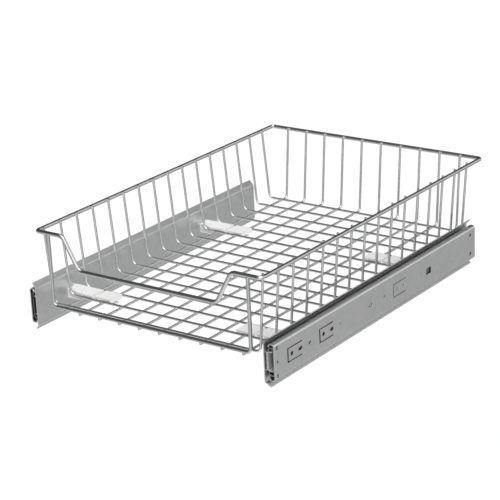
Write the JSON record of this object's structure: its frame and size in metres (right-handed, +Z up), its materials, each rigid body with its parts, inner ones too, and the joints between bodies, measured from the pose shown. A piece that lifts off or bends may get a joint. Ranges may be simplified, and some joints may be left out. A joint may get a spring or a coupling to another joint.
{
  "type": "pull out cabinet basket",
  "caption": "Shallow open wire basket with a dipped handle rim at the front, carried on a pair of full-extension ball-bearing runners that screw inside a kitchen cabinet.",
  "frame": {"origin": "bottom centre of the closed basket's bounding box, midway between the two runners", "axes": "+X to the right seen from the front, +Y into the cabinet along the runners, +Z up"},
  "size_m": [0.36, 0.499, 0.1292],
  "materials": {
    "chromed_wire": "bright",
    "zinc_plated_steel": "satin",
    "cage_steel": "satin",
    "ball_steel": "polished",
    "bumper_rubber": "matte",
    "moulded_plastic": "matte"
  },
  "bodies": {
    "cabinet_side": {"left_cabinet_member": "zinc_plated_steel", "left_rear_bumper": "bumper_rubber", "right_cabinet_member": "zinc_plated_steel", "right_rear_bumper": "bumper_rubber"},
    "basket": {"left_basket_member": "zinc_plated_steel", "left_side_profile": "zinc_plated_steel", "right_basket_member": "zinc_plated_steel", "right_side_profile": "zinc_plated_steel", "front_left_bracket": "moulded_plastic", "front_right_bracket": "moulded_plastic", "rear_left_bracket": "moulded_plastic", "rear_right_bracket": "moulded_plastic", "rim_wire": "chromed_wire", "front_frame_wire": "chromed_wire", "cross_wire_01": "chromed_wire", "cross_wire_02": "chromed_wire", "cross_wire_03": "chromed_wire", "cross_wire_04": "chromed_wire", "cross_wire_05": "chromed_wire", "cross_wire_06": "chromed_wire", "cross_wire_07": "chromed_wire", "cross_wire_08": "chromed_wire", "cross_wire_09": "chromed_wire", "cross_wire_10": "chromed_wire", "cross_wire_11": "chromed_wire", "cross_wire_12": "chromed_wire", "cross_wire_13": "chromed_wire", "cross_wire_14": "chromed_wire", "cross_wire_15": "chromed_wire", "cross_wire_16": "chromed_wire", "lengthwise_wire_01": "chromed_wire", "lengthwise_wire_02": "chromed_wire", "lengthwise_wire_03": "chromed_wire", "lengthwise_wire_04": "chromed_wire", "lengthwise_wire_05": "chromed_wire", "lengthwise_wire_06": "chromed_wire", "lengthwise_wire_07": "chromed_wire", "lengthwise_wire_08": "chromed_wire", "lengthwise_wire_09": "chromed_wire", "lengthwise_wire_10": "chromed_wire"},
    "left_middle": {"left_middle_member": "zinc_plated_steel"},
    "left_outer_row": {"left_outer_cage": "cage_steel", "left_outer_balls": "ball_steel"},
    "left_inner_row": {"left_inner_cage": "cage_steel", "left_inner_balls": "ball_steel"},
    "right_middle": {"right_middle_member": "zinc_plated_steel"},
    "right_outer_row": {"right_outer_cage": "cage_steel", "right_outer_balls": "ball_steel"},
    "right_inner_row": {"right_inner_cage": "cage_steel", "right_inner_balls": "ball_steel"}
  },
  "joints": [
    {"name": "basket_slide", "type": "slide", "parent": "cabinet_side", "child": "basket", "axis": [0, -1, 0], "range_m": [0, 0.45]},
    {"name": "left_middle_slide", "type": "slide", "parent": "cabinet_side", "child": "left_middle", "axis": [0, -1, 0], "range_m": [0, 0.2255]},
    {"name": "left_outer_row_slide", "type": "slide", "parent": "cabinet_side", "child": "left_outer_row", "axis": [0, -1, 0], "range_m": [0, 0.113]},
    {"name": "left_inner_row_slide", "type": "slide", "parent": "cabinet_side", "child": "left_inner_row", "axis": [0, -1, 0], "range_m": [0, 0.338]},
    {"name": "right_middle_slide", "type": "slide", "parent": "cabinet_side", "child": "right_middle", "axis": [0, -1, 0], "range_m": [0, 0.2255]},
    {"name": "right_outer_row_slide", "type": "slide", "parent": "cabinet_side", "child": "right_outer_row", "axis": [0, -1, 0], "range_m": [0, 0.113]},
    {"name": "right_inner_row_slide", "type": "slide", "parent": "cabinet_side", "child": "right_inner_row", "axis": [0, -1, 0], "range_m": [0, 0.338]}
  ],
  "couplings": [
    {"joint": "left_middle_slide", "follows": "basket_slide", "ratio": 0.5},
    {"joint": "left_outer_row_slide", "follows": "basket_slide", "ratio": 0.25},
    {"joint": "left_inner_row_slide", "follows": "basket_slide", "ratio": 0.75},
    {"joint": "right_middle_slide", "follows": "basket_slide", "ratio": 0.5},
    {"joint": "right_outer_row_slide", "follows": "basket_slide", "ratio": 0.25},
    {"joint": "right_inner_row_slide", "follows": "basket_slide", "ratio": 0.75}
  ]
}
